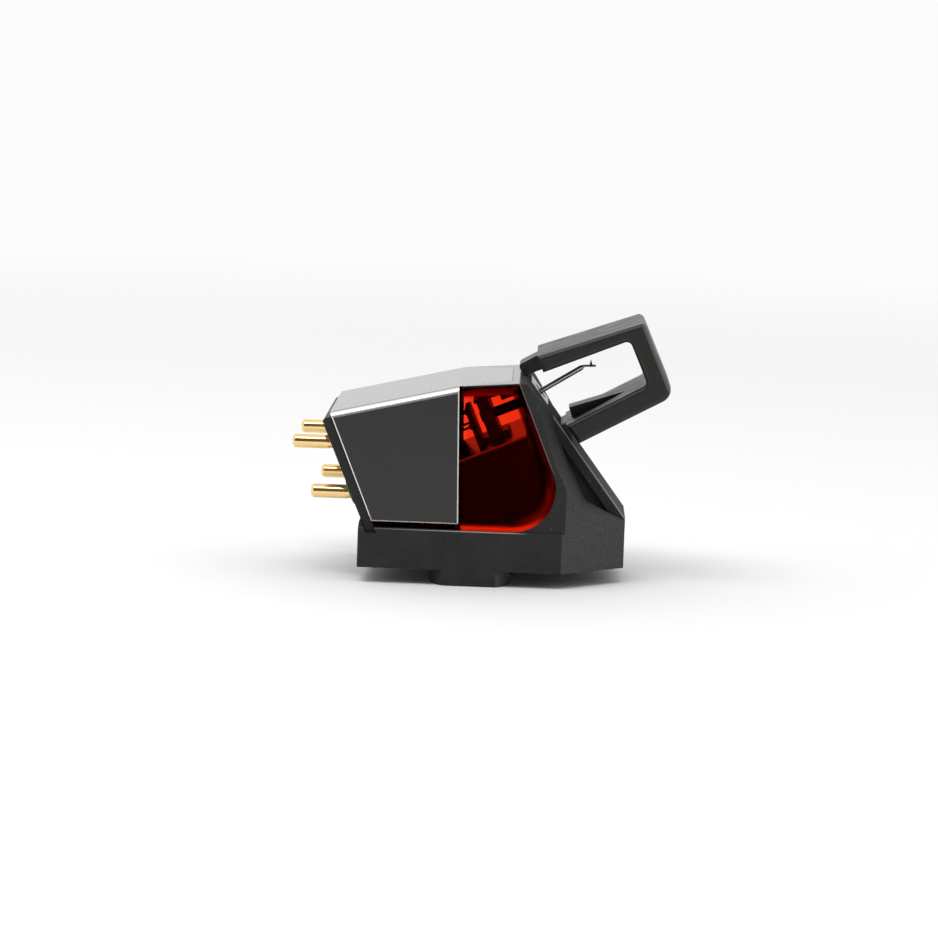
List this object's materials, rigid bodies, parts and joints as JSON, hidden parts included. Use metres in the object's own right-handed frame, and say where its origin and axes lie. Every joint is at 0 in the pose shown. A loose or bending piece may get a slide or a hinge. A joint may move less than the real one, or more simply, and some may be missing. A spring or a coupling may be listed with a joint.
{
  "type": "turntable stylus cartridge",
  "caption": "Moving-coil turntable cartridge with a red see-through housing, folded metal cover, sloping nose, gold terminal pins, a sprung cantilever and a pull-off stylus guard.",
  "frame": {"origin": "middle of the mounting face, half way between the two tapped holes", "axes": "+X forward to the stylus, +Y to the left channel's side, +Z away from the headshell"},
  "size_m": [0.0325, 0.018, 0.0229],
  "materials": {
    "base_plastic": "fine-grained moulded",
    "red_housing": "polished, see-through",
    "cover_metal": "dark grey satin, bright bevelled edges",
    "board_black": "matte",
    "carrier_black": "matte",
    "yoke_iron": "plated satin",
    "yoke_black": "oil-blacked",
    "magnet_dark": "ground",
    "screw_steel": "turned",
    "damper_rubber": "matte",
    "copper_wire": "lacquered copper",
    "cantilever_aluminium": "drawn tube",
    "stylus_diamond": "polished",
    "lead_board_brown": "laminate",
    "guard_plastic": "matte moulded",
    "pin_gold": "gold-plated",
    "collar_red": "gloss",
    "collar_green": "gloss",
    "collar_white": "gloss",
    "collar_blue": "gloss"
  },
  "bodies": {
    "cartridge": {"mounting_base": "base_plastic", "body_shell": "red_housing", "metal_cover": "cover_metal", "terminal_board": "board_black", "generator_carrier": "carrier_black", "rear_yoke": "yoke_black", "magnet": "magnet_dark", "front_yoke": "yoke_iron", "pole_pin": "yoke_black", "clamp_screw": "screw_steel", "suspension_wire": "screw_steel", "lead_board": "lead_board_brown", "pin_right_signal": "pin_gold", "pin_right_ground": "pin_gold", "pin_left_signal": "pin_gold", "pin_left_ground": "pin_gold", "collar_right_signal": "collar_red", "collar_right_ground": "collar_green", "collar_left_signal": "collar_white", "collar_left_ground": "collar_blue", "lead_right_signal": "copper_wire", "lead_right_ground": "copper_wire", "lead_left_signal": "copper_wire", "lead_left_ground": "copper_wire"},
    "damper": {"damper_ring": "damper_rubber"},
    "moving_system": {"coil_former": "yoke_iron", "coil_left": "copper_wire", "coil_right": "copper_wire", "cantilever": "cantilever_aluminium", "stylus": "stylus_diamond"},
    "guard": {"stylus_guard": "guard_plastic"}
  },
  "joints": [
    {"name": "cantilever_lateral", "type": "hinge", "parent": "cartridge", "child": "damper", "pos_m": [0.0042, 0, 0.0153], "axis": [0, 0, 1], "range_deg": [-3, 3], "stiffness_Nm_per_rad": 0.001},
    {"name": "cantilever_vertical", "type": "hinge", "parent": "damper", "child": "moving_system", "pos_m": [0.0042, 0, 0.0153], "axis": [0, 1, 0], "range_deg": [-2, 9], "stiffness_Nm_per_rad": 0.001},
    {"name": "guard_slide", "type": "slide", "parent": "cartridge", "child": "guard", "axis": [0.8763, 0, 0.4818], "range_m": [0, 0.012]}
  ]
}
